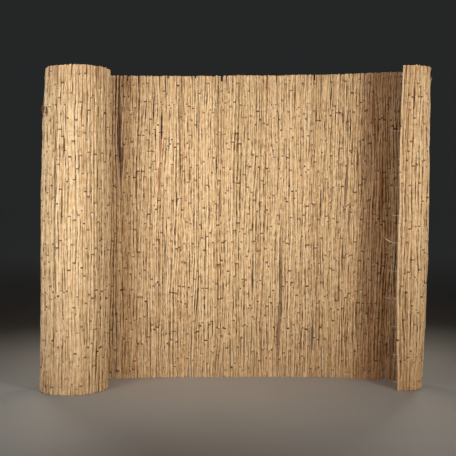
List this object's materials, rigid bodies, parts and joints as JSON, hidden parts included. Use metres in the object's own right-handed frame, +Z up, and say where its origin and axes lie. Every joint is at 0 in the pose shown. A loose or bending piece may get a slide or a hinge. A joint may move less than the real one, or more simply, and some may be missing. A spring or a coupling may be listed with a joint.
{
  "type": "reed screening mat",
  "caption": "Upright mat of dry reed stalks bound by rows of wire, one end rolled up, the middle open as a bowed screen, the other end curled forward.",
  "frame": {"origin": "on the floor, under the middle of the whole mat's box", "axes": "+X along the open panel from the roll to the curled end, +Y out of the panel's back, +Z up along the reeds"},
  "size_m": [1.4713, 0.2948, 1.2],
  "materials": {
    "reed": "dry straw-coloured reed, matt",
    "wire": "galvanised wire"
  },
  "bodies": {
    "root": {"reed_mat": "reed", "binding_wire_01": "wire", "binding_wire_02": "wire", "binding_wire_03": "wire", "binding_wire_04": "wire", "binding_wire_05": "wire", "binding_wire_06": "wire", "binding_wire_07": "wire", "binding_wire_08": "wire", "binding_wire_09": "wire", "binding_wire_10": "wire", "binding_wire_11": "wire", "binding_wire_12": "wire"}
  },
  "joints": []
}
